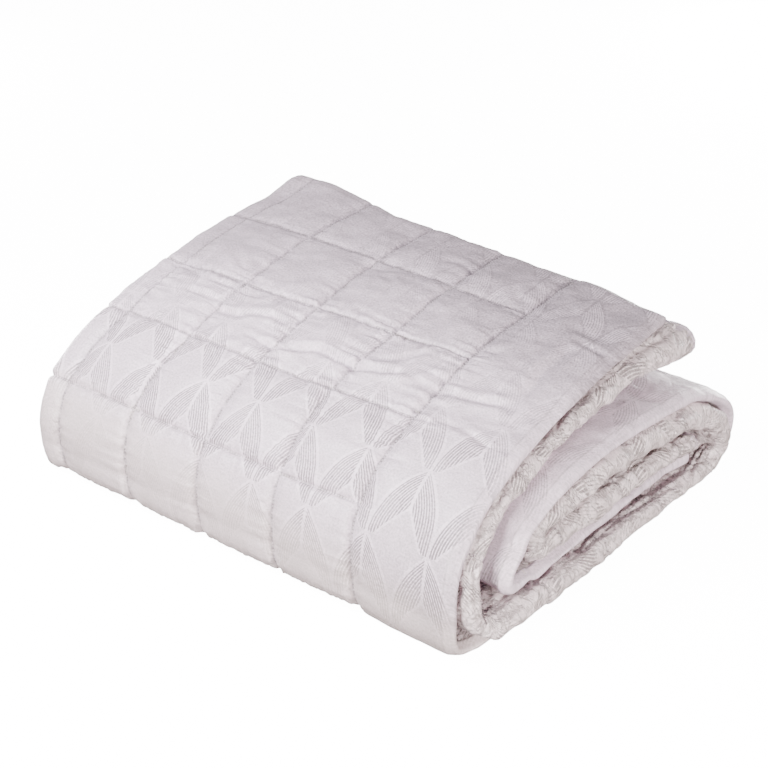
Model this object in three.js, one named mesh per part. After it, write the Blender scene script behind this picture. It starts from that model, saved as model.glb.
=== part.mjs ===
// A folded quilt, quilted in squares. It is one padded cloth, folded in thirds across its width and then
// rolled up along its length: a soft fold lies in front, and the ends of the layers show at the right.
// Millimetres, +X along the front fold, +Y to the back, +Z up. The origin is on the floor, under the
// middle of the bounding box.
import * as THREE from "three";

// The cloth
const SQUARE = 100; // from one line of quilting to the next, both ways
const LOFT = 13; // thickness in the middle of a square
const SEAM_THICK = 5.5; // thickness where it is stitched down
const FLAT_THICK = 11.5; // thickness of the layers that lie hidden, pressed nearly flat
const HEM_THICK = 5; // thickness of the piped hem
const HEM_WIDTH = 10; // how far the hem's roll reaches in from the edge
const SIDE_MARGIN = 115; // from the right hem to the first line of quilting
const END_MARGIN = 85; // from the end hem on top to the first line of quilting, before it is pulled askew
const PUFF = 0.6; // below 1, a square rises steeply from its seams and is flat in the middle

// The folding in thirds, measured across the cloth from the hem at the right
const THIRD = 536; // from the hem to the fold at the left, and from fold to fold
const FOLD = 26; // the cloth that goes round a fold
const INNER_SHORT = 24; // how far the innermost hem stays short of the fold at the left
const WIDTH = 3 * THIRD + 2 * FOLD;

// The rolling up along the length, section by section. run is how far the middle one of the three layers
// goes in a section, and bend how many degrees it turns there. The other columns hold at the section's end.
// pitch is from layer to layer; beside it the outer layer stands off by gap, and the inner one by hang.
// hem and band are how far the outer layer's hem and the rounded fold of the other two layers reach to the
// right, and left is where the fold at the left lies.
const START = { y: 420, z: 188, heading: 187 }; // the middle layer's loose end, on its way to the front
const ROUTE = [
  { at: "loose end", run: 0, bend: 0, pitch: 18, gap: 4, hang: 16, hem: 306, band: 337, left: -227 },
  { at: "top, rear end", run: 49, bend: -7, pitch: 17.5, gap: 4, hang: 10, hem: 311, band: 327, left: -227 },
  { at: "top, rear", run: 94.6, bend: 5.7, pitch: 16, gap: 4, hang: 1, hem: 315, band: 319, left: -227 },
  { at: "top, front", run: 175.9, bend: 12.6, pitch: 14, gap: 1.5, hang: 0, hem: 315, band: 318, left: -227 },
  { at: "front edge", run: 56, bend: 12.6, pitch: 13.3, gap: 1.5, hang: 0, hem: 317, band: 320, left: -228 },
  { at: "front, high", run: 44.3, bend: 16.8, pitch: 13, gap: 1.5, hang: 0, hem: 320, band: 324, left: -229 },
  { at: "front, low", run: 59.5, bend: 44.7, pitch: 13, gap: 1, hang: 0, hem: 325, band: 334, left: -227 },
  { at: "corner", run: 17.3, bend: 41.8, pitch: 12.8, gap: 11, hang: 0, hem: 328, band: 340, left: -225 },
  { at: "corner", run: 16.6, bend: 45.5, pitch: 12.8, gap: 0, hang: 0, hem: 335, band: 352, left: -223 },
  { at: "underneath", run: 320, bend: 1.1, pitch: 12.8, gap: 0, hang: 0, hem: 337, band: 354, left: -221 },
  { at: "rear corner", run: 63, bend: 32.4, pitch: 13, gap: 3, hang: 0, hem: 354, band: 364, left: -219 },
  { at: "rear", run: 54.5, bend: 105.5, pitch: 14, gap: 3, hang: 0, hem: 358, band: 364, left: -218 },
  { at: "rear, high", run: 81.5, bend: 35.5, pitch: 14.5, gap: 2, hang: 3, hem: 352, band: 354, left: -214 },
  { at: "second layer", run: 161.7, bend: 11.7, pitch: 14, gap: 1, hang: 3, hem: 345, band: 346, left: -212 },
  { at: "its front", run: 76.4, bend: 19.1, pitch: 12.6, gap: 0, hang: 0, hem: 343, band: 341, left: -210 },
  { at: "inner turn", run: 18, bend: 52, pitch: 12.6, gap: 7, hang: 0, hem: 343, band: 341, left: -210 },
  { at: "inner turn", run: 12.7, bend: 36.5, pitch: 12.6, gap: 30, hang: 0, hem: 343, band: 341, left: -210 },
  { at: "inner turn", run: 9, bend: 26, pitch: 12.6, gap: 7, hang: 0, hem: 343, band: 341, left: -210 },
  { at: "inner turn", run: 15.2, bend: 43.5, pitch: 12.6, gap: 0, hang: 0, hem: 343, band: 341, left: -210 },
  { at: "third one", run: 204.9, bend: -1.8, pitch: 13.5, gap: 0, hang: 2, hem: 343, band: 349, left: -210 },
  { at: "inner end", run: 49, bend: -5, pitch: 13, gap: 0, hang: 0, hem: 347, band: 353, left: -210 },
];
const COLUMNS = ["pitch", "gap", "hang", "hem", "band", "left"];

// The loose end is pulled askew. margin is what is left there from the end hem to the first line of
// quilting, at places across the cloth
const LOOSE_END = [
  { at: "hem", across: 0, margin: 71 },
  { at: "first seam", across: SIDE_MARGIN, margin: 84 },
  { at: "third seam", across: SIDE_MARGIN + 2 * SQUARE, margin: 96 },
  { at: "last seam", across: SIDE_MARGIN + 4 * SQUARE, margin: 121 },
  { at: "left fold", across: THIRD + FOLD, margin: 122 },
  { at: "band", across: 2 * THIRD + FOLD, margin: 104 },
  { at: "band", across: 2 * THIRD + 2 * FOLD, margin: 101 },
  { at: "inner hem", across: WIDTH, margin: 110 },
];
const LONGEST_MARGIN = 138;

// Where a run of the cloth comes to that sets off from a place and bends evenly, in radians
function bent(from, run, bend) {
  const heading = from.heading + bend;
  if (Math.abs(bend) < 1e-6) {
    return { y: from.y + run * Math.cos(heading), z: from.z + run * Math.sin(heading), heading };
  }
  const radius = run / bend;
  const y = from.y + radius * (Math.sin(heading) - Math.sin(from.heading));
  const z = from.z - radius * (Math.cos(heading) - Math.cos(from.heading));
  return { y, z, heading };
}

// The sections, each with the place where it begins and how far along the middle layer that is
const sections = [];
let place = { ...START, heading: THREE.MathUtils.degToRad(START.heading) };
let middleLength = 0;
for (const row of ROUTE) {
  const bend = THREE.MathUtils.degToRad(row.bend);
  sections.push({ ...row, bend, begins: place, from: middleLength });
  place = bent(place, row.run, bend);
  middleLength += row.run;
}

// The route at s along the middle layer: its point, the direction out of the roll, and the columns
function station(s) {
  let i = 1;
  while (i < sections.length - 1 && sections[i + 1].from < s) i++;
  const { begins, from, run, bend } = sections[i];
  const k = (s - from) / run;
  const p = bent(begins, s - from, k * bend);
  const w = {
    point: new THREE.Vector3(0, p.y, p.z),
    out: new THREE.Vector3(0, Math.sin(p.heading), -Math.cos(p.heading)),
  };
  const smooth = THREE.MathUtils.smoothstep(k, 0, 1);
  for (const name of COLUMNS) w[name] = THREE.MathUtils.lerp(ROUTE[i - 1][name], ROUTE[i][name], smooth);
  return w;
}

// The length of the outer layer up to each of many places on the middle one
const STEPS = 1200;
const lengths = [0];
let before = null;
for (let i = 0; i <= STEPS; i++) {
  const w = station((middleLength * i) / STEPS);
  const outer = w.point.clone().addScaledVector(w.out, w.pitch + w.gap);
  if (before) lengths.push(lengths[i - 1] + outer.distanceTo(before));
  before = outer;
}
const LENGTH = lengths[STEPS] - LONGEST_MARGIN + END_MARGIN;

// The place along the middle layer up to which the outer layer is s long
function placeAt(s) {
  const wanted = THREE.MathUtils.clamp(s, 0, lengths[STEPS]);
  let low = 0;
  let high = STEPS;
  while (high - low > 1) {
    const half = (low + high) >> 1;
    if (lengths[half] > wanted) high = half;
    else low = half;
  }
  return (middleLength * (low + (wanted - lengths[low]) / (lengths[high] - lengths[low]))) / STEPS;
}

// The x of the cloth at u across it, and n, how far out of the middle layer it lies
function across(u, w) {
  const outer = w.pitch + w.gap;
  const leftRadius = outer / 2;
  const inner = w.pitch + w.hang;
  const rightRadius = inner / 2;
  const leftEnd = w.left + leftRadius;
  const rightEnd = w.band - rightRadius;
  if (u <= THIRD) return { x: THREE.MathUtils.lerp(w.hem, leftEnd, u / THIRD), n: outer };
  if (u <= THIRD + FOLD) {
    const angle = (Math.PI * (u - THIRD)) / FOLD;
    return { x: leftEnd - leftRadius * Math.sin(angle), n: leftRadius * (1 + Math.cos(angle)) };
  }
  if (u <= 2 * THIRD + FOLD) {
    return { x: THREE.MathUtils.lerp(leftEnd, rightEnd, (u - THIRD - FOLD) / THIRD), n: 0 };
  }
  if (u <= 2 * THIRD + 2 * FOLD) {
    const angle = (Math.PI * (u - 2 * THIRD - FOLD)) / FOLD;
    return { x: rightEnd + rightRadius * Math.sin(angle), n: rightRadius * (Math.cos(angle) - 1) };
  }
  const k = (u - 2 * THIRD - 2 * FOLD) / THIRD;
  return { x: THREE.MathUtils.lerp(rightEnd, w.left + INNER_SHORT, k), n: -inner };
}

// The margin at the loose end, at u across the cloth
function endMargin(u) {
  let i = 1;
  while (i < LOOSE_END.length - 1 && LOOSE_END[i].across < u) i++;
  const [a, b] = [LOOSE_END[i - 1], LOOSE_END[i]];
  const k = THREE.MathUtils.smootherstep(u, a.across, b.across);
  return THREE.MathUtils.lerp(a.margin, b.margin, k);
}

// The pile's edges sag at the left and the right, more the higher they are, and the loose end lifts at
// the left
const SAG = { right: 0.045, left: 0.045 }; // share of the height lost at an edge, at HIGH
const HIGH = 200;
const SAG_FROM = 0.5; // where it begins, as a share of the way from the middle to an edge
const MIDDLE_X = 50;
const HALF_WIDTH = 285;
const LIFT = 13;
const LIFT_FROM = new THREE.Vector2(-60, 330);
const LIFT_TO = new THREE.Vector2(-230, 420);

function settled(x, y, z) {
  const away = Math.abs(x - MIDDLE_X) / HALF_WIDTH;
  const k = THREE.MathUtils.clamp((away - SAG_FROM) / (1 - SAG_FROM), 0, 1.2);
  const sag = x > MIDDLE_X ? SAG.right : SAG.left;
  const toLeft = THREE.MathUtils.smoothstep(LIFT_FROM.x - x, 0, LIFT_FROM.x - LIFT_TO.x);
  const toRear = THREE.MathUtils.smoothstep(y, LIFT_FROM.y, LIFT_TO.y);
  const high = THREE.MathUtils.smoothstep(z, 120, 170);
  return z * (1 - (sag * k * k * z) / HIGH) + LIFT * toLeft * toRear * high;
}

// The middle of the cloth at u across it and v along it
function middleOf(u, v) {
  const margin = endMargin(u);
  const s = LONGEST_MARGIN + (v < END_MARGIN ? ((v - END_MARGIN) * margin) / END_MARGIN : v - END_MARGIN);
  const w = station(placeAt(s));
  const { x, n } = across(u, w);
  const p = w.point.clone().addScaledVector(w.out, n);
  return new THREE.Vector3(x, p.y, settled(x, p.y, p.z));
}

// How far a place lies up the puff of its square, from 0 on a seam to 1 in the middle
function puffed(place, margin) {
  return Math.abs(Math.sin((Math.PI * (place - margin)) / SQUARE)) ** PUFF;
}

// The squares show on the outer layer, and along their length only on the rounded folds. The lines along
// the cloth run from end to end, but those across it stop at the margins.
const SHOWS_TO = THIRD + FOLD;
const BAND_FROM = 2 * THIRD - 40;
const BAND_TO = 2 * THIRD + 2 * FOLD + 60;
const FLAT_PUFF = (FLAT_THICK - SEAM_THICK) / (LOFT - SEAM_THICK);

function thickness(u, v) {
  const along = v < END_MARGIN ? Math.sqrt(1 - v / END_MARGIN) : 0;
  const row = u < SIDE_MARGIN ? 1 : Math.max(puffed(v, END_MARGIN), along);
  const side = u < SIDE_MARGIN ? Math.sqrt(1 - u / SIDE_MARGIN) : 0;
  let puff = FLAT_PUFF;
  if (u <= SHOWS_TO) puff = row * Math.max(puffed(u, SIDE_MARGIN), side);
  else if (u >= BAND_FROM && u <= BAND_TO) puff = row * FLAT_PUFF;
  const edge = Math.min(u, WIDTH - u, v, LENGTH - v);
  const thick = SEAM_THICK + (LOFT - SEAM_THICK) * puff;
  return THREE.MathUtils.lerp(HEM_THICK, thick, THREE.MathUtils.smoothstep(edge, 0, HEM_WIDTH));
}

// How far one side of the cloth stands off its middle at a place, from half its thickness. On the inside
// of a tight turn it is squashed, and reaches no further than a share of the way to the turn's centre.
const SQUASH = 0.7;

function standOff(half, before, at, after, side) {
  const [a, b] = [at.clone().sub(before), after.clone().sub(at)];
  const run = (a.length() + b.length()) / 2;
  const bend = b.normalize().sub(a.normalize()).dot(side) / run;
  return bend * half > SQUASH ? SQUASH / bend : half;
}

// The steps of a square, close to its seams or not, as shares of it
const FINE = [0.14, 0.5, 0.86, 1];
const PRESSED = [0.2, 0.8, 1];
const COARSE = [0.5, 1];

// Adds the lines of some squares, and of a plain stretch, to a grid's lines
function addSquares(lines, count, shares) {
  const from = lines[lines.length - 1];
  for (let i = 0; i < count; i++) {
    for (const share of shares) lines.push(from + SQUARE * (i + share));
  }
}

function addStretch(lines, length, steps) {
  const from = lines[lines.length - 1];
  for (let i = 1; i <= steps; i++) lines.push(from + (length * i) / steps);
}

function linesAcross() {
  const lines = [0, HEM_WIDTH / 2, HEM_WIDTH, 60, SIDE_MARGIN];
  addSquares(lines, 4, FINE);
  addStretch(lines, THIRD - lines[lines.length - 1], 1);
  addStretch(lines, FOLD, 6);
  addStretch(lines, THIRD, 5);
  addStretch(lines, FOLD, 6);
  addStretch(lines, THIRD - HEM_WIDTH, 5);
  addStretch(lines, HEM_WIDTH, 1);
  return lines;
}

function linesAlong() {
  const lines = [0, HEM_WIDTH / 2, HEM_WIDTH, 45, END_MARGIN];
  addSquares(lines, 5, FINE);
  addSquares(lines, 3, PRESSED);
  addSquares(lines, 2, FINE);
  addSquares(lines, 2, COARSE);
  addSquares(lines, 1, [0.25, 0.5, 0.75, 1]);
  addSquares(lines, 1, [0.125, 0.25, 0.375, 0.5, 0.625, 0.75, 0.875, 1]);
  addSquares(lines, 5, COARSE);
  return lines.filter((v) => v < LENGTH - 2 * HEM_WIDTH).concat([LENGTH - HEM_WIDTH, LENGTH]);
}

// The quilt's slopes and bends are taken over this length
const STEP = 1.5;

// The quilt as one closed surface: its two faces, and a rounded hem between them all round
function quiltGeometry() {
  const us = linesAcross();
  const vs = linesAlong();
  const faces = [[], []];
  const rims = new Map();
  const positions = [];
  const add = (p) => positions.push(p.x, p.y, Math.max(p.z, 0)) / 3 - 1;
  vs.forEach((v, j) => {
    us.forEach((u, i) => {
      const at = middleOf(u, v);
      const [left, right] = [middleOf(Math.min(u + STEP, WIDTH), v), middleOf(Math.max(u - STEP, 0), v)];
      const [inner, outer] = [middleOf(u, Math.min(v + STEP, LENGTH)), middleOf(u, Math.max(v - STEP, 0))];
      const du = left.clone().sub(right);
      const dv = inner.clone().sub(outer);
      const normal = dv.clone().cross(du).normalize();
      const half = thickness(u, v) / 2;
      for (const [face, side] of [[0, normal], [1, normal.clone().negate()]]) {
        const reach = Math.min(standOff(half, left, at, right, side), standOff(half, outer, at, inner, side));
        faces[face].push(add(at.clone().addScaledVector(side, reach)));
      }
      const outU = (i === us.length - 1) - (i === 0);
      const outV = (j === vs.length - 1) - (j === 0);
      if (outU || outV) {
        const out = du.normalize().multiplyScalar(outU).addScaledVector(dv.normalize(), outV).normalize();
        rims.set(j * us.length + i, add(at.addScaledVector(out, half)));
      }
    });
  });
  const index = [];
  const quad = (a, b, c, d) => index.push(a, b, c, a, c, d);
  for (let j = 0; j + 1 < vs.length; j++) {
    for (let i = 0; i + 1 < us.length; i++) {
      const here = j * us.length + i;
      const beyond = here + us.length;
      const [a, b, c, d] = [here, here + 1, beyond + 1, beyond].map((k) => faces[0][k]);
      const [e, f, g, h] = [here, here + 1, beyond + 1, beyond].map((k) => faces[1][k]);
      quad(a, d, c, b);
      quad(e, f, g, h);
    }
  }
  const round = [];
  for (let i = 0; i < us.length - 1; i++) round.push(i);
  for (let j = 0; j < vs.length - 1; j++) round.push(j * us.length + us.length - 1);
  for (let i = us.length - 1; i > 0; i--) round.push((vs.length - 1) * us.length + i);
  for (let j = vs.length - 1; j > 0; j--) round.push(j * us.length);
  round.forEach((k, n) => {
    const next = round[(n + 1) % round.length];
    quad(faces[0][k], faces[0][next], rims.get(next), rims.get(k));
    quad(rims.get(k), rims.get(next), faces[1][next], faces[1][k]);
  });
  const geometry = new THREE.BufferGeometry();
  geometry.setAttribute("position", new THREE.Float32BufferAttribute(positions, 3));
  geometry.setIndex(index);
  geometry.computeBoundingBox();
  const box = geometry.boundingBox;
  geometry.translate(-(box.min.x + box.max.x) / 2, -(box.min.y + box.max.y) / 2, -box.min.z);
  geometry.computeVertexNormals();
  return geometry;
}

const cloth = new THREE.MeshStandardMaterial({ color: 0xdcd8dc, roughness: 0.7, metalness: 0 });
const quilt = new THREE.Mesh(quiltGeometry(), cloth);
quilt.name = "quilt";

const group = new THREE.Group();
group.name = "folded_quilt";
group.add(quilt);

export default group;
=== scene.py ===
# %% [markdown]
# # A folded quilt
#
# This scene dresses one folded quilt: a bedspread of satin jacquard, padded with a thin filling and
# machine quilted in squares. It lies folded in thirds across its width and rolled up along its length,
# with a soft fold in front and the ends of its layers at the right.
#
# The real thing is three flat sheets sewn together, so it is made here as cloth: one open sheet for the
# face, one for the backing, and the hem that joins them. Each is laid on the same folds as the solid of
# the frame, only much finer. The folds are measured in millimetres, as a sewer would do it, and the
# patterns and the studio in metres, as Blender does.

import math

import bpy
import numpy as np
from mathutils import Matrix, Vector


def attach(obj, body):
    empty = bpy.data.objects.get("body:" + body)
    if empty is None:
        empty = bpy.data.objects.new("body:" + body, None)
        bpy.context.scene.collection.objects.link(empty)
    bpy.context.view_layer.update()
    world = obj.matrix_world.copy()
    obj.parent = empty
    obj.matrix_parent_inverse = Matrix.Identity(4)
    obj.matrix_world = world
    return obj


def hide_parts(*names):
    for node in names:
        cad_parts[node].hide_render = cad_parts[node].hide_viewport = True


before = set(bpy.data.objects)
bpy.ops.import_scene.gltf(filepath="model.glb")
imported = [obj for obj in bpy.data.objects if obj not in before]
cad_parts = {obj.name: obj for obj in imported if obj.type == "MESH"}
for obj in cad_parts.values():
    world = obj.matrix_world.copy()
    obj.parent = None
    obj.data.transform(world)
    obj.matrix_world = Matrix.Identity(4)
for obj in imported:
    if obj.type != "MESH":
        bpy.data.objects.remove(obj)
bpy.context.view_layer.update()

# %% [markdown]
# ## The camera
#
# The photograph looks down on the quilt from its front right corner. A long lens keeps the squares of
# the top nearly parallel. The camera's place was worked out from the crossings of the quilted seams,
# which lie 100 mm apart both ways.

# %% The camera
LENS = 79.69
AZIMUTH = math.radians(-39.04)
TILT = math.radians(27.48)
EYE = Vector((0.9957, -1.2304, 0.9289))

camera = bpy.data.objects.new("camera", bpy.data.cameras.new("camera"))
bpy.context.scene.collection.objects.link(camera)
bpy.context.scene.camera = camera
camera.data.lens = LENS
camera.data.sensor_width = 36
camera.data.clip_start = 0.05
camera.location = EYE
looking = Vector((math.sin(AZIMUTH) * math.cos(TILT), math.cos(AZIMUTH) * math.cos(TILT), -math.sin(TILT)))
camera.rotation_mode = "QUATERNION"
camera.rotation_quaternion = looking.to_track_quat("-Z", "Y")
print("the camera looks along", [round(c, 3) for c in looking])

# %% [markdown]
# ## The folded cloth
#
# A quilt like this is cut flat, so every place on it has two lengths: `u` across it from the right hem,
# and `v` along it from the hem that ends on top. Folding takes each place somewhere in the pile. That
# is worked out in two steps. First comes the rolling up along the length, a route in runs that bend
# evenly, one row for each section. Then comes the folding in thirds across the width.
#
# A cloth simulation could fold it too, but the folds would fall where they like. Here each layer has to
# lie where the photograph shows it, so the folds are laid one by one and only the wrinkles are left loose.

# %% The cloth's own sizes, and the way from its zero point to the frame's
SQUARE = 100
LOFT = 13.0
SEAM_THICK = 5.5
FLAT_THICK = 11.5
HEM_THICK = 5.0
HEM_WIDTH = 10
SIDE_MARGIN = 115
END_MARGIN = 85
PUFF = 0.6
THIRD = 536
FOLD = 26
INNER_SHORT = 24
WIDTH = 3 * THIRD + 2 * FOLD
BAND_START = 2 * THIRD
BAND_END = 2 * THIRD + 2 * FOLD
OFFSET = np.array((-67.75, -206.47, 0.0))

# %% The rolling up, section by section
# Run and bend are a section's length and its turn in degrees, on the middle layer. The others hold at its
# end: pitch is the way to the layers beside it, gap and hang are spare room outside and inside of it, and
# hem, band and left say how far aside the right hem, the rounded fold and the left fold lie. The start is
# the first y and z, and the way the cloth heads there.
COLUMNS = ("run", "bend", "pitch", "gap", "hang", "hem", "band", "left")
START = (420.0, 188.0, math.radians(187))
ROUTE = [
    ("loose end", 0, 0, 18, 4, 16, 306, 337, -227),
    ("top, rear end", 49, -7, 17.5, 4, 10, 311, 327, -227),
    ("top, rear", 94.6, 5.7, 16, 4, 1, 315, 319, -227),
    ("top, front", 175.9, 12.6, 14, 1.5, 0, 315, 318, -227),
    ("front edge", 56, 12.6, 13.3, 1.5, 0, 317, 320, -228),
    ("front, high", 44.3, 16.8, 13, 1.5, 0, 320, 324, -229),
    ("front, low", 59.5, 44.7, 13, 1, 0, 325, 334, -227),
    ("corner", 17.3, 41.8, 12.8, 11, 0, 328, 340, -225),
    ("corner", 16.6, 45.5, 12.8, 0, 0, 335, 352, -223),
    ("underneath", 320, 1.1, 12.8, 0, 0, 337, 354, -221),
    ("rear corner", 63, 32.4, 13, 3, 0, 354, 364, -219),
    ("rear", 54.5, 105.5, 14, 3, 0, 358, 364, -218),
    ("rear, high", 81.5, 35.5, 14.5, 2, 3, 352, 354, -214),
    ("second layer", 161.7, 11.7, 14, 1, 3, 345, 346, -212),
    ("its front", 76.4, 19.1, 12.6, 0, 0, 343, 341, -210),
    ("inner turn", 18, 52, 12.6, 7, 0, 343, 341, -210),
    ("inner turn", 12.7, 36.5, 12.6, 30, 0, 343, 341, -210),
    ("inner turn", 9, 26, 12.6, 7, 0, 343, 341, -210),
    ("inner turn", 15.2, 43.5, 12.6, 0, 0, 343, 341, -210),
    ("third one", 204.9, -1.8, 13.5, 0, 2, 343, 349, -210),
    ("inner end", 49, -5, 13, 0, 0, 347, 353, -210),
]
sections = {name: np.array([row[i + 1] for row in ROUTE], float) for i, name in enumerate(COLUMNS)}
sections["bend"] = np.radians(sections["bend"])
print(len(ROUTE), "sections,", sections["run"].sum(), "mm along the middle layer")


# %% Where a run of cloth comes to
def bent(y, z, heading, run, bend):
    """The end of a run that bends evenly, and the way it heads there."""
    straight = np.abs(bend) < 1e-6
    radius = run / np.where(straight, 1.0, bend)
    turned = heading + bend
    y_end = y + np.where(straight, run * np.cos(heading), radius * (np.sin(turned) - np.sin(heading)))
    z_end = z + np.where(straight, run * np.sin(heading), radius * (np.cos(heading) - np.cos(turned)))
    return y_end, z_end, turned


begins = [START]
for run, bend in zip(sections["run"], sections["bend"]):
    begins.append(bent(*begins[-1], run, bend))
begins = np.array(begins[:-1], float)
reached = np.concatenate(([0.0], np.cumsum(sections["run"])[:-1]))
MIDDLE_LENGTH = sections["run"].sum()
print("the middle layer ends at y %.1f, z %.1f" % (begins[-1][0], begins[-1][1]))


# %% A place on the route, with the columns there
def eased(k):
    k = np.clip(k, 0.0, 1.0)
    return k * k * (3 - 2 * k)


def station(s):
    i = np.clip(np.searchsorted(reached, s, side="left") - 1, 1, len(ROUTE) - 1)
    k = (s - reached[i]) / sections["run"][i]
    y, z, heading = bent(*np.moveaxis(begins[i], -1, 0), s - reached[i], k * sections["bend"][i])
    place = {"y": y, "z": z, "out_y": np.sin(heading), "out_z": -np.cos(heading)}
    for name in COLUMNS[2:]:
        values = sections[name]
        place[name] = values[i - 1] + (values[i] - values[i - 1]) * eased(k)
    return place


# %% The length of the outer layer, and the place where it has a given length
LONGEST_MARGIN = 138
steps = np.linspace(0, MIDDLE_LENGTH, 1201)
along_route = station(steps)
outer = np.stack(
    [
        along_route["y"] + along_route["out_y"] * (along_route["pitch"] + along_route["gap"]),
        along_route["z"] + along_route["out_z"] * (along_route["pitch"] + along_route["gap"]),
    ],
    axis=1,
)
outer_length = np.concatenate(([0.0], np.cumsum(np.linalg.norm(np.diff(outer, axis=0), axis=1))))
LENGTH = outer_length[-1] - LONGEST_MARGIN + END_MARGIN
print("the quilt is %.0f mm wide and %.0f mm long" % (WIDTH, LENGTH))

# %% [markdown]
# The loose end on top is pulled askew, so the margin between its hem and the first seam grows from the
# right to the left. The pile also sags at its sides, and the loose end lifts at the rear left.

# %% The loose end, and how the pile settles
LOOSE_ACROSS = np.array((0, 115, 315, 515, 562, 1098, 1124, 1660), float)
LOOSE_MARGIN = np.array((71, 84, 96, 121, 122, 104, 101, 110), float)


def end_margin(u):
    i = np.clip(np.searchsorted(LOOSE_ACROSS, u, side="left") - 1, 0, len(LOOSE_ACROSS) - 2)
    k = np.clip((u - LOOSE_ACROSS[i]) / (LOOSE_ACROSS[i + 1] - LOOSE_ACROSS[i]), 0, 1)
    k = k * k * k * (k * (6 * k - 15) + 10)
    return LOOSE_MARGIN[i] + (LOOSE_MARGIN[i + 1] - LOOSE_MARGIN[i]) * k


PILE_MIDDLE = 50
PILE_HALF = 285
PILE_HIGH = 200
SAG = 0.045
LIFT = 13


def settled(x, y, z):
    """The height of a place once the pile has sagged at its sides and the loose end has lifted."""
    away = np.clip((np.abs(x - PILE_MIDDLE) / PILE_HALF - 0.5) / 0.5, 0, 1.2)
    to_left = eased((-60 - x) / 170)
    to_rear = eased((y - 330) / 90)
    high = eased((z - 120) / 50)
    return z * (1 - SAG * away * away * z / PILE_HIGH) + LIFT * to_left * to_rear * high


# %% The folding in thirds
def folded_in_thirds(u, place):
    """How far aside a place lies, and how far outside the middle layer."""
    outer_off = place["pitch"] + place["gap"]
    inner_off = place["pitch"] + place["hang"]
    left_end = place["left"] + outer_off / 2
    right_end = place["band"] - inner_off / 2
    left_turn = np.pi * (u - THIRD) / FOLD
    right_turn = np.pi * (u - 2 * THIRD - FOLD) / FOLD
    where = [u <= THIRD, u <= THIRD + FOLD, u <= 2 * THIRD + FOLD, u <= BAND_END]
    middle_share = (u - THIRD - FOLD) / THIRD
    inner_share = (u - 2 * THIRD - 2 * FOLD) / THIRD
    x = np.select(
        where,
        [
            place["hem"] + (left_end - place["hem"]) * u / THIRD,
            left_end - outer_off / 2 * np.sin(left_turn),
            left_end + (right_end - left_end) * middle_share,
            right_end + inner_off / 2 * np.sin(right_turn),
        ],
        right_end + (place["left"] + INNER_SHORT - right_end) * inner_share,
    )
    off = np.select(
        where,
        [
            outer_off + 0 * u,
            outer_off / 2 * (1 + np.cos(left_turn)),
            0 * u,
            inner_off / 2 * (np.cos(right_turn) - 1),
        ],
        -inner_off + 0 * u,
    )
    return x, off


# %% The middle of the cloth, for any places across and along it
def middle_of(u, v):
    margin = end_margin(u)
    s = LONGEST_MARGIN + np.where(v < END_MARGIN, (v - END_MARGIN) * margin / END_MARGIN, v - END_MARGIN)
    place = station(np.interp(s, outer_length, steps))
    x, off = folded_in_thirds(u, place)
    y = place["y"] + place["out_y"] * off
    z = place["z"] + place["out_z"] * off
    return np.stack([x, y, settled(x, y, z)], axis=-1)


corner = middle_of(np.array([0.0]), np.array([0.0]))[0]
print("the loose corner lies at", corner.round(1), "mm")

# %% [markdown]
# ## The padding
#
# Each square of the quilt is puffed by its filling: it rises steeply from the stitched seams and is
# nearly flat in the middle. Next to a seam the cloth is gathered by the thread, so short puckers run
# out of it. The creases that storage has pressed in were placed one by one, each a trough that runs
# through a few places on the cloth, with its filling pushed up beside it.


# %% How far the seams have wandered at their crossings, as the photograph shows
CROSSINGS_U = (0, 115, 215, 315, 415, 515, 562)
CROSSINGS_V = (0, 85, 185, 285, 385, 485)
WANDER_U = (
    (0, 0, 0, 0, 0, 0, 0),
    (0, 2, -1, 4, 5, 4, 0),
    (0, 6, 1, 1, 1, 0, 0),
    (0, 5, 6, 2, 0, -4, 0),
    (0, 7, 3, 2, 4, 2, 0),
    (0, 0, 0, 0, 0, 0, 0),
)
WANDER_V = (
    (0, 0, 0, 0, 0, 0, 0),
    (6, 8, 4, -1, -2, -6, -6),
    (0, 0, 0, 3, 5, 3, 0),
    (-6, -7, -5, -3, -4, -6, -6),
    (-6, -7, -4, -4, -5, -6, -6),
    (0, 0, 0, 0, 0, 0, 0),
)


def wandered(table, across, along):
    """How far a place is moved, by a table with a row for each line across and a column for each along."""
    rows = np.array([np.interp(across, CROSSINGS_U, row) for row in table])
    k = np.clip(np.interp(along, CROSSINGS_V, range(len(rows))), 0, len(rows) - 1.001)
    i = k.astype(int)
    before = np.take_along_axis(rows, i[None], axis=0)[0]
    after = np.take_along_axis(rows, i[None] + 1, axis=0)[0]
    return before + (after - before) * (k - i)


# %% How far the cloth is puffed
def puffed(place, margin):
    return np.abs(np.sin(np.pi * (place - margin) / SQUARE)) ** PUFF


def thickness(u, v):
    """The cloth's thickness: full in the middle of a square, thin at the seams and thinnest at the hem."""
    flat_puff = (FLAT_THICK - SEAM_THICK) / (LOFT - SEAM_THICK)
    along = np.sqrt(np.clip(1 - v / END_MARGIN, 0, 1))
    row = np.where(u < SIDE_MARGIN, 1, np.maximum(puffed(v, END_MARGIN), along))
    side = np.sqrt(np.clip(1 - u / SIDE_MARGIN, 0, 1))
    shown = row * np.maximum(puffed(u, SIDE_MARGIN), side)
    band = (u >= BAND_START - 40) & (u <= BAND_END + 60)
    puff = np.where(u <= THIRD + FOLD, shown, np.where(band, row * flat_puff, flat_puff))
    edge = np.minimum(np.minimum(u, WIDTH - u), np.minimum(v, LENGTH - v))
    thick = SEAM_THICK + (LOFT - SEAM_THICK) * puff
    return HEM_THICK + (thick - HEM_THICK) * eased(edge / HEM_WIDTH)


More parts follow.
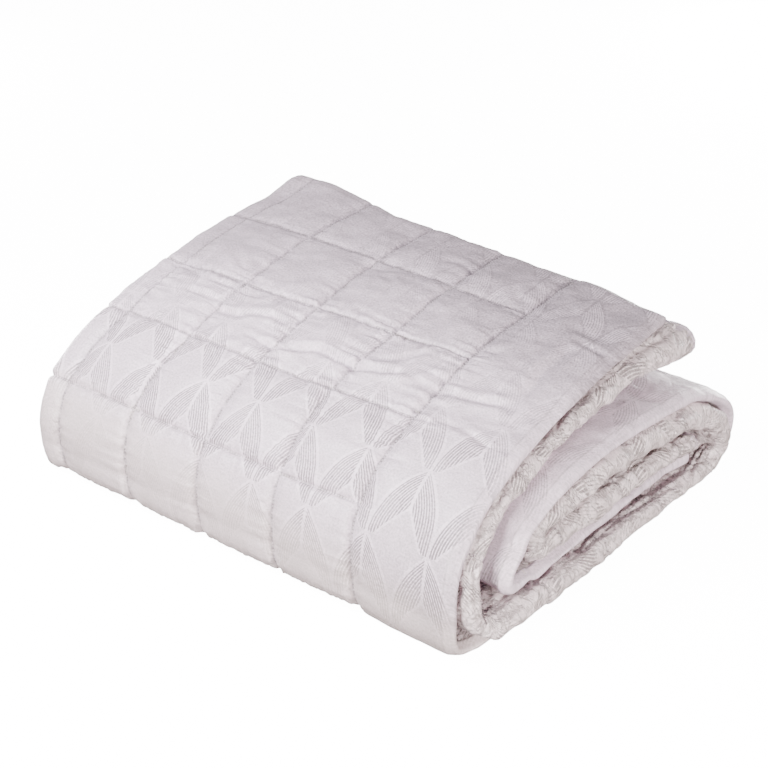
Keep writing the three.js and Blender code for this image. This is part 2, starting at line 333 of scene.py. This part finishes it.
# %% The valley that the thread pulls into the face, and the puckers that run out of it
VALLEY_DEEP = 1.8
VALLEY_WIDE = 2.8
COLUMN_DEEP = 2.6
COLUMN_WIDE = 4.4
PUCKER_DEEP = 1.7
PUCKER_REACH = 6.0


def wavering(place, seed):
    """An uneven wave along a seam, the sum of waves 6 to 23 mm long, different for each seam."""
    total = 0
    for i, wave in enumerate((6.1, 8.3, 12.0, 23.0)):
        phase = np.sin(seed * (12.9898 + i)) * 43758.5
        total = total + np.sin(2 * np.pi * place / wave + phase)
    return total / 2


def from_seam(place, margin):
    """Which seam is the nearest, and how far from it a place lies."""
    seam = np.round((place - margin) / SQUARE)
    return seam, place - margin - seam * SQUARE


def gathers(u, v):
    """How far the thread moves the cloth: inwards in the valleys, and both ways in the puckers."""
    seam_u, off_u = from_seam(u, SIDE_MARGIN)
    seam_v, off_v = from_seam(v, END_MARGIN)
    on_face = (u < THIRD + FOLD) | ((u > BAND_START - 60) & (u < BAND_END + 80))
    quilted_u = (u > SIDE_MARGIN - SQUARE / 2) & (u < THIRD + FOLD)
    # the cloth is smoother where it is pulled tight, at the loose end and over the front edge
    stretched = (0.35 + 0.65 * eased((v - 130) / 60)) * (1 - 0.45 * eased((v - 270) / 40) * (v < 560))
    in_band = u > THIRD + FOLD
    # the lines across the cloth stop at the margin, and the last one along it is slack on top
    inside = eased((u - SIDE_MARGIN + 4) / 6)
    slack = 1 - 0.55 * (u > SIDE_MARGIN + 3.5 * SQUARE) * (1 - eased((v - 250) / 60))
    column_deep = COLUMN_DEEP * slack * (1 + 0.5 * eased((v - 330) / 60))
    row_deep = VALLEY_DEEP * (1 + 0.7 * (seam_v == 3)) * (1 - 0.7 * in_band) * inside
    valley_u = column_deep * np.exp(-np.abs(off_u / COLUMN_WIDE) ** 1.5) * quilted_u
    valley_v = row_deep * np.exp(-np.abs(off_v / VALLEY_WIDE) ** 1.5)
    far_u = np.abs(off_u) / PUCKER_REACH / np.where(off_u > 0, 1.6, 1)
    far_v = np.abs(off_v) / PUCKER_REACH
    run_v = far_v * np.exp(1 - far_v) * wavering(u, seam_v + 0.3 * np.sign(off_v) + 1) * inside
    run_u = far_u * np.exp(1 - far_u) * wavering(v, seam_u + 0.3 * np.sign(off_u) + 40) * quilted_u
    # the fold at the left pulls its puckers out, and folds fill the valleys across them
    run_u = run_u * (1 - 0.75 * eased((u - THIRD + 21) / 8) * (u < BAND_START))
    deep = PUCKER_DEEP * stretched * (0.55 * run_v + run_u)
    at_left_fold = eased((u - THIRD + 12) / 12) * eased((THIRD + FOLD + 14 - u) / 14)
    filled = np.exp(-((off_v / 12) ** 2)) * (1.6 * in_band + 2.2 * at_left_fold * (1 - in_band))
    return on_face * (deep + filled - np.maximum(valley_u, valley_v))


# %% Loose wrinkles, from uneven numbers on a net of places
NET = 61


def uneven(u, v, size_u, size_v, seed):
    """A smooth random height, 0 to 1, on a net whose meshes are size_u by size_v."""
    net = np.random.default_rng(seed).random((NET, NET))
    a, b = np.broadcast_arrays(u / size_u, v / size_v)
    i, j = np.floor(a).astype(int), np.floor(b).astype(int)
    s, t = eased(a - i), eased(b - j)
    near = net[i % NET, j % NET] * (1 - s) + net[(i + 1) % NET, j % NET] * s
    far = net[i % NET, (j + 1) % NET] * (1 - s) + net[(i + 1) % NET, (j + 1) % NET] * s
    return near * (1 - t) + far * t


def ridged(u, v, size_u, size_v, seed):
    """Narrow ridges that wander between the places, 0 to 1."""
    return (1 - np.abs(2 * uneven(u, v, size_u, size_v, seed) - 1)) ** 3


def wrinkles(u, v):
    """Fine wrinkles on top and on the lower course, and a wavy strip beside the right hem."""
    bent_u = u + 16 * uneven(u, v, 35, 35, 3)
    bent_v = v + 16 * uneven(u, v, 35, 35, 4)
    loose = eased((v - 150) / 50) * (1 - eased((v - 280) / 40))
    top = 1 - eased((v - 280) / 40)
    soft = 3.2 * (uneven(u, v, 38, 31, 5) - 0.5) + 1.6 * (uneven(u, v, 15, 12, 12) - 0.5)
    ridges = 1.2 * ridged(bent_u, bent_v, 34, 17, 6) + 0.9 * ridged(bent_u, bent_v, 15, 13, 13)
    lower_course = eased((v - 900) / 60)
    at_left = eased((u - 495) / 35) * eased((300 - v) / 30)
    fine = ((0.45 + 0.55 * loose) * top + 0.9 * lower_course) * ridges * (1 - 0.8 * at_left)
    edge = eased((70 - u) / 60)
    wavy = 2.6 * (uneven(u, v, 80, 26, 9) - 0.5)
    pulled = 0.5 * ridged(bent_u, bent_v, 40, 12, 7)
    return soft * (0.4 + 0.6 * top) + fine + edge * (pulled + wavy)


def crumpled(u, v):
    """The rounded fold at the right, whose backing is pressed in along its length and gathered askew."""
    band = eased((u - BAND_START + 60) / 40) * eased((BAND_END + 90 - u) / 40)
    askew = v + 1.3 * (u - BAND_START - FOLD) * np.sign(uneven(u, v, 400, 90, 18) - 0.45)
    bent_u = u + 18 * uneven(u, v, 40, 60, 14)
    bent_v = askew + 26 * uneven(u, v, 24, 30, 15)
    across_it = 1.5 * ridged(bent_u, bent_v, 60, 31, 7) + 1.0 * ridged(bent_u, bent_v, 26, 13, 8)
    along_it = 4.0 * ridged(bent_u, bent_v, 12, 150, 16) + 2.1 * ridged(bent_u, bent_v, 7.5, 40, 17)
    wavy = 3.0 * (uneven(u, v, 30, 46, 9) - 0.5)
    return band * (across_it - along_it + wavy)


# %% Creases pressed in by storage: the places one runs through (u, v), its depth and its width
CREASE_PRESS = 1.8
CREASES = [
    ([(330, 262), (290, 252), (268, 243), (240, 247), (215, 248), (185, 242), (158, 232)], 2.6, 5.5),
    ([(155, 239), (120, 240), (90, 236), (40, 225)], 2.2, 6),
    ([(210, 230), (190, 224), (172, 207), (156, 193)], 1.6, 5),
    ([(280, 172), (255, 175), (222, 177)], 1.2, 4),
    ([(425, 240), (385, 238), (368, 228), (345, 223), (316, 231)], 1.8, 6),
    ([(352, 258), (316, 262)], 1.3, 4),
    ([(475, 226), (440, 228), (418, 232)], 1.4, 4.5),
    ([(460, 204), (415, 200)], 1.3, 4),
    ([(455, 254), (415, 252)], 1.2, 4),
    ([(402, 205), (380, 200)], 1.0, 5),
    ([(300, 108), (282, 112), (268, 122), (262, 160)], 0.9, 6),
    ([(330, 98), (300, 100), (275, 92)], 1.0, 6),
    ([(260, 54), (235, 50), (205, 56)], 1.6, 6),
    ([(40, 118), (44, 165), (40, 222)], 1.4, 9),
    ([(46, 112), (2, 118)], 1.6, 5),
    ([(118, 172), (100, 166), (84, 168)], 1.5, 7),
    ([(470, 150), (440, 168), (420, 178)], 0.8, 6),
    ([(515, 190), (480, 200), (455, 214)], 0.8, 7),
    ([(106, 274), (70, 271), (20, 283)], 1.0, 5),
    ([(160, 60), (128, 84)], 1.0, 6),
]


def creases(u, v):
    """The height that all creases together give a place."""
    height = 0 * (u + v)
    for path, deep, wide in CREASES:
        nearest = np.full(height.shape, 1e9)
        for (u1, v1), (u2, v2) in zip(path, path[1:]):
            du, dv = u2 - u1, v2 - v1
            k = np.clip(((u - u1) * du + (v - v1) * dv) / (du * du + dv * dv), 0, 1)
            nearest = np.minimum(nearest, np.hypot(u - u1 - k * du, v - v1 - k * dv))
        ends = 1.0
        for u_end, v_end in (path[0], path[-1]):
            ends = ends * eased(np.hypot(u - u_end, v - v_end) / (3 * wide))
        off = nearest / (0.6 * wide)
        # a sharp trough, between two soft shoulders of pushed filling
        shape = 0.35 * np.exp(-(((off - 2.4) / 1.2) ** 2)) - np.exp(-(off**1.4))
        height = height + deep * shape * ends
    return height


# %% How far one side of the cloth stands off its middle
SQUASH = 0.7
STEP = 1.5


def stand_off(half, before, at, after, side):
    """Half the thickness, or less inside a bend so tight that the side would cross itself."""
    a, b = at - before, after - at
    a_long = np.linalg.norm(a, axis=-1, keepdims=True)
    b_long = np.linalg.norm(b, axis=-1, keepdims=True)
    bend = ((b / b_long - a / a_long) * side).sum(axis=-1) / (a_long + b_long)[..., 0] * 2
    tight = bend * half > SQUASH
    return np.where(tight, SQUASH / np.where(tight, bend, 1), half)


def side_of(a, b, face, proud=0.0):
    """Places on one side of the cloth: a and b are counted from the seams where they have wandered to,
    and face is 1 for the face and -1 for the backing."""
    u, v = a + wandered(WANDER_U, a, b), b + wandered(WANDER_V, a, b)
    at = middle_of(u, v)
    left, right = middle_of(np.minimum(u + STEP, WIDTH), v), middle_of(np.maximum(u - STEP, 0), v)
    inner, outer = middle_of(u, np.minimum(v + STEP, LENGTH)), middle_of(u, np.maximum(v - STEP, 0))
    normal = np.cross(left - right, inner - outer)
    normal /= np.linalg.norm(normal, axis=-1, keepdims=True)
    side = normal * face
    half = thickness(a, b) / 2 + proud
    reach = np.minimum(stand_off(half, left, at, right, side), stand_off(half, outer, at, inner, side))
    pressed = CREASE_PRESS * creases(u, v) if face > 0 else crumpled(u, v)
    loose = gathers(a, b) + wrinkles(u, v) + pressed
    reach = reach + loose * np.clip(reach / 3, 0, 1)
    return at + side * reach[..., None]


# %% [markdown]
# ## The sheets
#
# A sheet is a grid of places, close together where it is seen and wide apart where it lies hidden. One of
# its UV maps holds the place on the flat cloth in metres, so that the jacquard follows the folds. The
# other is counted from the seams, so that the stitches follow these where they have wandered.


# %% Lines of a grid, and a sheet from it
def lines(*stretches):
    """Places from the first number on: each stretch is (up to, step)."""
    found = [np.array([float(stretches[0])])]
    for end, step in stretches[1:]:
        start = found[-1][-1]
        count = max(1, round((end - start) / step))
        found.append(np.linspace(start, end, count + 1)[1:])
    return np.concatenate(found)


LOWEST = 0.0003


def metres(points):
    """Places in the frame, in metres, none of them below the floor."""
    placed = (points + OFFSET) / 1000
    placed[..., 2] = np.maximum(placed[..., 2], LOWEST)
    return placed


def cloth_mesh(name, points, across, along, flip):
    rows, columns = points.shape[:2]
    index = np.arange(rows * columns).reshape(rows, columns)
    corners = [index[:-1, :-1], index[1:, :-1], index[1:, 1:], index[:-1, 1:]]
    quads = np.stack(corners, axis=-1).reshape(-1, 4)
    if flip:
        quads = quads[:, ::-1]
    mesh = bpy.data.meshes.new(name)
    mesh.from_pydata(metres(points).reshape(-1, 3).tolist(), [], quads.tolist())
    seams = np.stack([across, along], axis=-1)
    moved = np.stack([wandered(WANDER_U, across, along), wandered(WANDER_V, across, along)], axis=-1)
    for layer_name, place in (("cloth", seams + moved), ("seams", seams)):
        layer = mesh.uv_layers.new(name=layer_name)
        spread = place.reshape(-1, 2)[quads.reshape(-1)] / 1000
        layer.data.foreach_set("uv", spread.astype(np.float32).reshape(-1))
    mesh.polygons.foreach_set("use_smooth", np.ones(len(mesh.polygons), bool))
    piece = bpy.data.objects.new(name, mesh)
    bpy.context.scene.collection.objects.link(piece)
    print(name, "has", len(quads) * 2, "triangles")
    return piece


def squares(start, count, near, step):
    """Lines over some squares of the quilting, closer together beside the seams."""
    half = list(near) + list(np.arange(near[-1] + step, SQUARE / 2 - step / 3, step))
    shares = np.array([0.0] + half + [SQUARE / 2] + [SQUARE - n for n in reversed(half)])
    return np.concatenate([start + SQUARE * i + shares for i in range(count)])


def sheet_piece(name, across_lines, along_lines, face):
    along, across = np.meshgrid(along_lines, across_lines, indexing="ij")
    return cloth_mesh(name, side_of(across, along, face), across, along, face > 0)


# %% The face and the backing
NEAR = (1.3, 2.8, 4.6, 7.0, 9.8)
face_across = np.concatenate(
    [
        lines(2, (SIDE_MARGIN - 3, 3.4)),
        squares(SIDE_MARGIN, 4, NEAR, 3.2),
        lines(SIDE_MARGIN + 4 * SQUARE, (562, 3.4), (1060, 40), (1150, 6), (1640, 40), (WIDTH - 2, 9)),
    ]
)
face_along = np.concatenate(
    [
        lines(2, (END_MARGIN - 3, 3.4)),
        squares(END_MARGIN, 4, NEAR, 3.2),
        lines(END_MARGIN + 4 * SQUARE, (520, 4), (950, 12), (1350, 4), (LENGTH - 2, 12)),
    ]
)
quilt_face = sheet_piece("quilt_face", face_across, face_along, 1)
back_across = lines(2, (60, 5), (1040, 30), (1082, 4), (1142, 1.7), (1190, 5), (1640, 30), (WIDTH - 2, 9))
back_along = lines(2, (LENGTH - 2, 3))
quilt_backing = sheet_piece("quilt_backing", back_across, back_along, -1)

# %% [markdown]
# ## The hem
#
# Face and backing are turned in and sewn together round a thin cord of filling. The hem is a strip that
# starts at a line of stitches on the face, goes round the edge and ends at the stitches on the backing.

# %% The hem's stations round the cloth, and its strip
# Each pair says how far from the edge a place lies, and how proud of the cloth it stands. The strip
# follows them on the face, goes round the cord and follows them back on the backing. CORD_OUT is how far
# the cord stands out of the edge, and CORD_UP half its height, as a share of the cloth's half thickness.
HEM_SHAPE = [(10.5, -0.6), (9.6, -0.1), (7, 0.2), (4, 0.25), (1.5, 0.3)]
CORD_OUT = 2.6
CORD_UP = 1.1


def hem_path():
    right = [(0, v) for v in np.arange(0, LENGTH, 4)]
    inner = [(u, LENGTH) for u in np.arange(0, WIDTH, 8)]
    left = [(WIDTH, v) for v in np.arange(LENGTH, 0, -8)]
    loose = [(u, 0) for u in np.arange(WIDTH, 0, -4)]
    return np.array(right + inner + left + loose, float)


path = hem_path()
strip = []
strip_uv = []
for inset, proud in HEM_SHAPE:
    at = np.clip(path, inset, (WIDTH - inset, LENGTH - inset))
    strip.append(side_of(at[:, 0], at[:, 1], 1, proud))
    strip_uv.append(at)
rim = np.clip(path, 1, (WIDTH - 1, LENGTH - 1))
rim_middle = middle_of(rim[:, 0], rim[:, 1])
inside = np.clip(path, 4, (WIDTH - 4, LENGTH - 4))
outwards = rim_middle - middle_of(inside[:, 0], inside[:, 1])
outwards /= np.linalg.norm(outwards, axis=-1, keepdims=True)
up = side_of(rim[:, 0], rim[:, 1], 1) - rim_middle
for turn in (30, 60, 90, 120, 150):
    angle = math.radians(turn)
    strip.append(rim_middle + outwards * CORD_OUT * math.sin(angle) + up * CORD_UP * math.cos(angle))
    strip_uv.append(rim)
for inset, proud in reversed(HEM_SHAPE):
    at = np.clip(path, inset, (WIDTH - inset, LENGTH - inset))
    strip.append(side_of(at[:, 0], at[:, 1], -1, proud))
    strip_uv.append(at)
strip = np.stack(strip, axis=1)
strip_uv = np.stack(strip_uv, axis=1)
strip = np.concatenate([strip, strip[:1]])
strip_uv = np.concatenate([strip_uv, strip_uv[:1]])
quilt_hem = cloth_mesh("quilt_hem", strip, strip_uv[..., 0], strip_uv[..., 1], False)

# %% [markdown]
# ## The shader's arithmetic
#
# A pattern on cloth is mostly sums. A small class wraps a socket, so that they can be written as sums:
# each operator adds its Math node.


# %% A class for values in a material
class Value:
    def __init__(self, nodes, socket):
        self.nodes = nodes
        self.socket = socket

    def maths(self, operation, *values):
        return self.nodes.node("ShaderNodeMath", {"operation": operation}, self, *values)

    def __add__(self, other):
        return self.maths("ADD", other)

    def __radd__(self, other):
        return self.maths("ADD", other)

    def __sub__(self, other):
        return self.maths("SUBTRACT", other)

    def __rsub__(self, other):
        return self.nodes.node("ShaderNodeMath", {"operation": "SUBTRACT"}, other, self)

    def __mul__(self, other):
        return self.maths("MULTIPLY", other)

    def __rmul__(self, other):
        return self.maths("MULTIPLY", other)

    def __truediv__(self, other):
        return self.maths("DIVIDE", other)

    def __pow__(self, other):
        return self.maths("POWER", other)

    def __abs__(self):
        return self.maths("ABSOLUTE")

    def rises(self, start, end):
        """0 up to start and 1 from end on, or the other way round, with soft ends."""
        settings = {"interpolation_type": "SMOOTHSTEP"}
        return self.nodes.node("ShaderNodeMapRange", settings, self, start, end, 0.0, 1.0)


class Nodes:
    """The nodes of one material."""

    def __init__(self, name):
        self.material = bpy.data.materials.new(name)
        self.material.use_nodes = True
        self.tree = self.material.node_tree
        self.shader = self.tree.nodes["Principled BSDF"]

    def put(self, socket, value):
        if isinstance(value, Value):
            self.tree.links.new(value.socket, socket)
        else:
            socket.default_value = value

    def node(self, kind, settings, *values, **named):
        """A node with its settings, and the values or links of its sockets, by their order or names."""
        made = self.tree.nodes.new(kind)
        for key, value in settings.items():
            setattr(made, key, value)
        for i, value in enumerate(values):
            self.put(made.inputs[i], value)
        for key, value in named.items():
            self.put(made.inputs[key], value)
        return Value(self, made.outputs[0])

    def place(self, layer):
        """The place on the flat cloth, in metres, by one of its UV maps: across, along, and both."""
        both = self.node("ShaderNodeUVMap", {"uv_map": layer})
        apart = self.tree.nodes.new("ShaderNodeSeparateXYZ")
        self.tree.links.new(both.socket, apart.inputs[0])
        return Value(self, apart.outputs[0]), Value(self, apart.outputs[1]), both

    def noise(self, vector, scale, detail=2.0, roughness=0.5):
        kind = "ShaderNodeTexNoise"
        return self.node(kind, {}, Vector=vector, Scale=scale, Detail=detail, Roughness=roughness)

    def mix(self, share, first, second):
        made = self.tree.nodes.new("ShaderNodeMix")
        made.data_type = "RGBA"
        self.put(made.inputs[0], share)
        self.put(made.inputs[6], first)
        self.put(made.inputs[7], second)
        return Value(self, made.outputs[2])


# %% [markdown]
# ## The jacquard
#
# The face is woven tone on tone. From every node two leaves hang down, like the halves of a bell, with a
# stem between them, and plain satin lozenges fill the rest. The leaves are filled with stripes that
# follow their outer curve. The nodes stand half a step aside from row to row. It is charted here by a
# formula, as a weaver would draw one repeat on squared paper.

# %% The pattern's chart, in metres
NODE_STEP = 0.071
ROW_STEP = 0.073
NODE_AT = (-0.004, 0.032)
BULGE = 2.3
LOZENGE_TIP = 0.040
LOZENGE_SLOPE = 0.80
STRIPE_STEP = 0.0030
PLAIN = 0.66


def jacquard(cloth, u, v, both):
    """How bright a place is: about 1 in outlines and stripes, PLAIN in satin, near 0 between stripes."""
    rows = (v - NODE_AT[1]) / ROW_STEP
    row = rows.maths("FLOOR")
    down = (rows - row) * ROW_STEP
    aside = (row * 0.5).maths("FRACT")
    columns = (u - NODE_AT[0]) / NODE_STEP + aside
    off = abs((columns + 0.5).maths("FRACT") - 0.5) * NODE_STEP
    bell = (1 - (1 - down / ROW_STEP) ** BULGE) * (NODE_STEP / 2)
    inside = bell - off
    lozenge = (down - LOZENGE_TIP) * LOZENGE_SLOPE
    beyond = off - lozenge.maths("MAXIMUM", 0.0)
    leaf = inside.rises(0.0012, 0.0020) * beyond.rises(0.0012, 0.0020)
    line = (inside * (2 * math.pi / STRIPE_STEP)).maths("SINE").rises(0.0, 0.9)
    broken = cloth.noise(both, 340.0, 1.0).rises(0.38, 0.56) * 0.62 + 0.54
    edge = abs(inside).rises(0.0026, 0.0012) + abs(beyond - 0.0002).rises(0.0022, 0.0010)
    outline = edge.maths("MINIMUM", 1.0) * broken
    ground = PLAIN + outline * (1 - PLAIN)
    return ground * (1 - leaf) + (line * broken * 1.12 + 0.06) * leaf


# %% [markdown]
# ## The quilting stitches
#
# The machine sews a straight lock stitch along the lines of the squares, and its thread sinks into the
# cloth. The valleys that it lies in are in the mesh already. The stitches themselves are too small for
# that, so the material draws them, counted from the seams. It also paints shade along the valleys and
# in the holes between the stitches.

# %% A lock stitch every 3.4 mm
STITCH_STEP = 0.0034


def stitches(cloth, across, along):
    """The thread, the holes between stitches, how deep in the valley a place lies, and how near to it."""
    thread = hole = deep = near = 0.0
    for place, margin, running in ((across, SIDE_MARGIN, along), (along, END_MARGIN, across)):
        off = abs(((place - margin / 1000) / (SQUARE / 1000) + 0.5).maths("FRACT") - 0.5) * (SQUARE / 1000)
        step = abs((running / STITCH_STEP).maths("FRACT") - 0.5)
        quilted = (place - (margin - 50) / 1000).rises(-0.0001, 0.0001)
        if margin == SIDE_MARGIN:
            quilted = quilted * ((THIRD + FOLD) / 1000 - place).rises(-0.0001, 0.0001)
        else:
            quilted = quilted * (across - SIDE_MARGIN / 1000).rises(-0.0008, 0.0)
        thread = thread + off.rises(0.0009, 0.0005) * step.rises(0.36, 0.28) * quilted
        hole = hole + off.rises(0.0014, 0.0004) * step.rises(0.34, 0.44) * quilted
        # a mask for the painted shade along the seam's valley
        deep = deep + off.rises(0.0024, 0.0005) * quilted
        near = near + off.rises(0.018, 0.002) * quilted
    return [share.maths("MINIMUM", 1.0) for share in (thread, hole, deep, near)]


# %% [markdown]
# ## The light on the satin
#
# Real satin is bright or dark by the direction of its threads to the light and the eye. A material that
# is baked can't turn with them, so the change that the photograph shows is woven in here, by the place
# on the cloth: how strongly the pattern shows, how bright its ground is, and how warm.


# %% The face in front, on the drape, at the rear and on the lower course, and the backing
def face_light(u, v):
    """Painted sheen and shade by place: the leaves are dark on bright in front, bright on dark at the
    rear, and faint low on the drape.
    """
    lower_course = v.rises(0.60, 0.70)
    # the drape low in front is painted with warm shade where it turns down, and its pattern fades there as
    # painted sheen
    drape = (v + u * 0.12).rises(0.415, 0.47) * (1 - lower_course)
    in_front = v.rises(0.10, 0.21)
    shown = in_front * 0.35 + v.rises(0.25, 0.30) * 0.62 - (1 - in_front) * (0.42 - u * 0.62)
    shown = shown * (1 - drape * (0.46 + u * 0.60)) * (1 - lower_course * 0.55)
    # painted shade and light: the ground is darker at the low right and the rear right, and brighter in
    # front and on the lower course
    shade_low_right = (v - u * 0.5).rises(0.31, 0.46) * (1 - lower_course)
    shade_rear_right = (v + u * 0.5).rises(0.30, 0.08)
    ground = v.rises(0.15, 0.22) * 0.24 - shade_low_right * 0.32 - shade_rear_right * 0.22 + lower_course * 0.10 - 0.13
    return shown, ground, drape


def backing_light(u, v):
    """The backing is crumpled all over, so it has no larger change of its own."""
    return 0.90, 0.05, 0.30


# %% [markdown]
# ## The two fabrics
#
# Both are one cloth in two tempers: the face lies smooth and the backing is crumpled. On the woven chart
# come the grain of the yarn, streaks across the cloth, cloudy wear, sharp little folds with painted shade
# in them, and the stitches with painted shade in their valleys and holes.

# %% Features for each metre of cloth, the hem's seam in metres from the edge, and the colours mixed in: a warm tint that also paints shade, and the colour of painted shade
GRAIN = 470.0
CLOUDS = 30.0
SMALL_FOLDS = 75.0
TURNED_SHEEN_PATCHES = 27.0
VALLEY_BREAKS = 110.0
STREAKS = (90.0, 700.0, 1.0)
HEM_SEAM = 0.009
WARM_SHADE_AND_TINT = (0.63, 0.54, 0.495, 1)
SHADOW = (0.20, 0.165, 0.175, 1)


# %% Weaving a fabric
def woven(name, bright, dull, thread_colour, lit, rough, crumple):
    """A material: lit is the function for its light, rough its roughness, crumple from 0, smooth, to 1."""
    cloth = Nodes(name)
    u, v, both = cloth.place("cloth")
    across, along, _ = cloth.place("seams")
    thread, hole, deep, near = stitches(cloth, across, along)
    shown, ground, warm_shade_and_tint_share = lit(u, v)
    # the hems are narrow and curled, and in a crumpled place painted sheen turns some leaves bright and
    # others dark
    near_edge = across.maths("MINIMUM", along)
    far_edge = (WIDTH / 1000 - across).maths("MINIMUM", LENGTH / 1000 - along)
    on_hem = near_edge.maths("MINIMUM", far_edge).rises(0.012, 0.003)
    turned = cloth.noise(both, TURNED_SHEEN_PATCHES, 1.0).rises(0.43, 0.57) * (crumple * 1.45)
    shown = (1 - on_hem * 0.65) * (1 - turned) * shown
    shade = PLAIN + (jacquard(cloth, u, v, both) - PLAIN) * shown
    cloudy = cloth.noise(both, CLOUDS, 3.0).rises(0.3, 0.75)
    grain = cloth.noise(both, GRAIN, 1.0) - 0.5
    streak_place = cloth.node("ShaderNodeVectorMath", {"operation": "MULTIPLY"}, both, STREAKS)
    streak = cloth.noise(streak_place, 1.0, 2.0) - 0.5
    # small sharp folds, which bump the cloth and are also darkened by painted shade, more so near the
    # seams
    folded = abs(cloth.noise(both, SMALL_FOLDS, 3.0, 0.6) - 0.5).rises(0.09, 0.0)
    folded = folded * (crumple + near * 0.14)
    deep = deep * cloth.noise(both, VALLEY_BREAKS, 2.0).rises(0.30, 0.62)
    # the tone of the cloth, with painted sheen and shade from its place and painted shade in its small
    # folds
    light = shade + ground + grain * 0.95 + streak * 0.40
    light = light - cloudy * 0.12 - folded * (0.18 + crumple * 0.20)
    hemmed = abs(near_edge - HEM_SEAM).rises(0.0014, 0.0004) * 0.30
    colour = cloth.mix(light.maths("MAXIMUM", 0.0), dull, bright)
    # painted warm shade low on the drape of the face, and an even warm tint over the backing
    colour = cloth.mix(warm_shade_and_tint_share * 0.45, colour, WARM_SHADE_AND_TINT)
    # painted shade in the quilting valleys and the holes between stitches, and a dark line along the hem's
    # seam
    colour = cloth.mix(deep * 0.78 + hole * 0.22 + hemmed, colour, SHADOW)
    colour = cloth.mix(thread * 0.40, colour, thread_colour)
    cloth.put(cloth.shader.inputs["Base Color"], colour)
    cloth.put(cloth.shader.inputs["Roughness"], rough - shade * 0.22 + cloudy * 0.08)
    relief = shade * 0.00008 + grain * 0.00006 + streak * 0.00005 + thread * 0.0003 - hole * 0.0004
    height = relief - folded * 0.0011
    bump = cloth.node("ShaderNodeBump", {}, Height=height, Strength=0.8, Distance=1.0)
    cloth.put(cloth.shader.inputs["Normal"], bump)
    cloth.shader.inputs["Sheen Weight"].default_value = 0.05
    cloth.shader.inputs["Sheen Roughness"].default_value = 0.4
    cloth.shader.inputs["Specular IOR Level"].default_value = 0.7
    return cloth.material


# %% The face and the backing in their colours: bright yarn, dull yarn and sewing thread
FACE = ((0.80, 0.665, 0.765, 1), (0.22, 0.18, 0.205, 1), (0.74, 0.64, 0.72, 1))
BACKING = ((0.88, 0.745, 0.785, 1), (0.24, 0.20, 0.21, 1), (0.76, 0.66, 0.70, 1))
face_fabric = woven("face_fabric", *FACE, face_light, 0.58, 0.14)
backing_fabric = woven("backing_fabric", *BACKING, backing_light, 0.50, 1.0)
dressed = ((quilt_face, face_fabric), (quilt_hem, face_fabric), (quilt_backing, backing_fabric))
for piece, fabric in dressed:
    piece.data.materials.append(fabric)
    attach(piece, "root")
    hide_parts("quilt")

# %% [markdown]
# ## The studio
#
# The quilt lies on a plain white floor in weak light from all round. Three broad lamps model its
# folds: a warm one in front, a warmer one at the right, and a small cool one above. Two more stand low
# behind it and at its left, for those who walk round it. The floor glows, so that it stays white to its
# edges, but its glow is kept off the cloth, where it would fill the folds.

# %% The floor
FLOOR_SIZE = 200
FLOOR_BELOW = 0.0005
FLOOR_GLOW = 14.0

bpy.ops.object.select_all(action="DESELECT")
bpy.ops.mesh.primitive_plane_add(size=FLOOR_SIZE, location=(0, 0, -FLOOR_BELOW))
floor = bpy.context.object
floor.name = "floor"
floor_paint = bpy.data.materials.new("floor_paint")
floor_paint.use_nodes = True
paint = floor_paint.node_tree.nodes["Principled BSDF"].inputs
paint["Base Color"].default_value = (0.9, 0.9, 0.9, 1)
paint["Roughness"].default_value = 0.9
paint["Emission Color"].default_value = (1, 1, 1, 1)
paint["Emission Strength"].default_value = FLOOR_GLOW
floor.data.materials.append(floor_paint)
floor.visible_diffuse = False
floor.visible_glossy = False
print("a floor of", FLOOR_SIZE, "m")

# %% The weak light from all round, warmer from below
SKY_GLOW = 0.24

world = bpy.data.worlds.new("studio")
bpy.context.scene.world = world
world.use_nodes = True
sky = world.node_tree.nodes
toward = sky.new("ShaderNodeTexCoord")
height = sky.new("ShaderNodeSeparateXYZ")
tint = sky.new("ShaderNodeMix")
tint.data_type = "RGBA"
tint.inputs[6].default_value = (1.0, 0.86, 0.76, 1)
tint.inputs[7].default_value = (0.98, 0.96, 1.0, 1)
for outlet, inlet in (
    (toward.outputs["Generated"], height.inputs[0]),
    (height.outputs[2], tint.inputs[0]),
    (tint.outputs[2], sky["Background"].inputs["Color"]),
):
    world.node_tree.links.new(outlet, inlet)
sky["Background"].inputs["Strength"].default_value = SKY_GLOW

# %% The lamps: where each is, what it shines on, its size in metres, its power in watts and its colour
LAMPS = [
    ("front", (0.15, -1.6, 0.66), (-0.05, 0, 0.1), (0.7, 0.45), 54, (1.0, 0.975, 0.95)),
    ("above", (-0.34, -0.46, 0.80), (-0.05, -0.08, 0.15), (0.35, 0.35), 14.5, (0.97, 0.97, 1.0)),
    ("right", (1.9, -0.6, 0.45), (0.1, 0, 0.1), (0.5, 0.35), 76, (1.0, 0.95, 0.91)),
    ("behind", (0.1, 2.0, 0.20), (0, 0, 0.1), (1.2, 0.3), 58, (1.0, 0.97, 0.96)),
    ("left", (-2.0, 0.15, 0.20), (0, 0, 0.1), (0.9, 0.3), 46, (1.0, 0.97, 0.96)),
]


def soft_light(name, place, aim, size, power, colour):
    lamp = bpy.data.lights.new(name, "AREA")
    lamp.color = colour
    lamp.shape = "RECTANGLE"
    lamp.size, lamp.size_y = size
    lamp.energy = power
    light = bpy.data.objects.new(name, lamp)
    bpy.context.scene.collection.objects.link(light)
    light.location = place
    light.rotation_mode = "QUATERNION"
    light.rotation_quaternion = (Vector(aim) - Vector(place)).to_track_quat("-Z", "Y")


for settings in LAMPS:
    soft_light(*settings)
print(len(LAMPS), "lamps round the quilt")
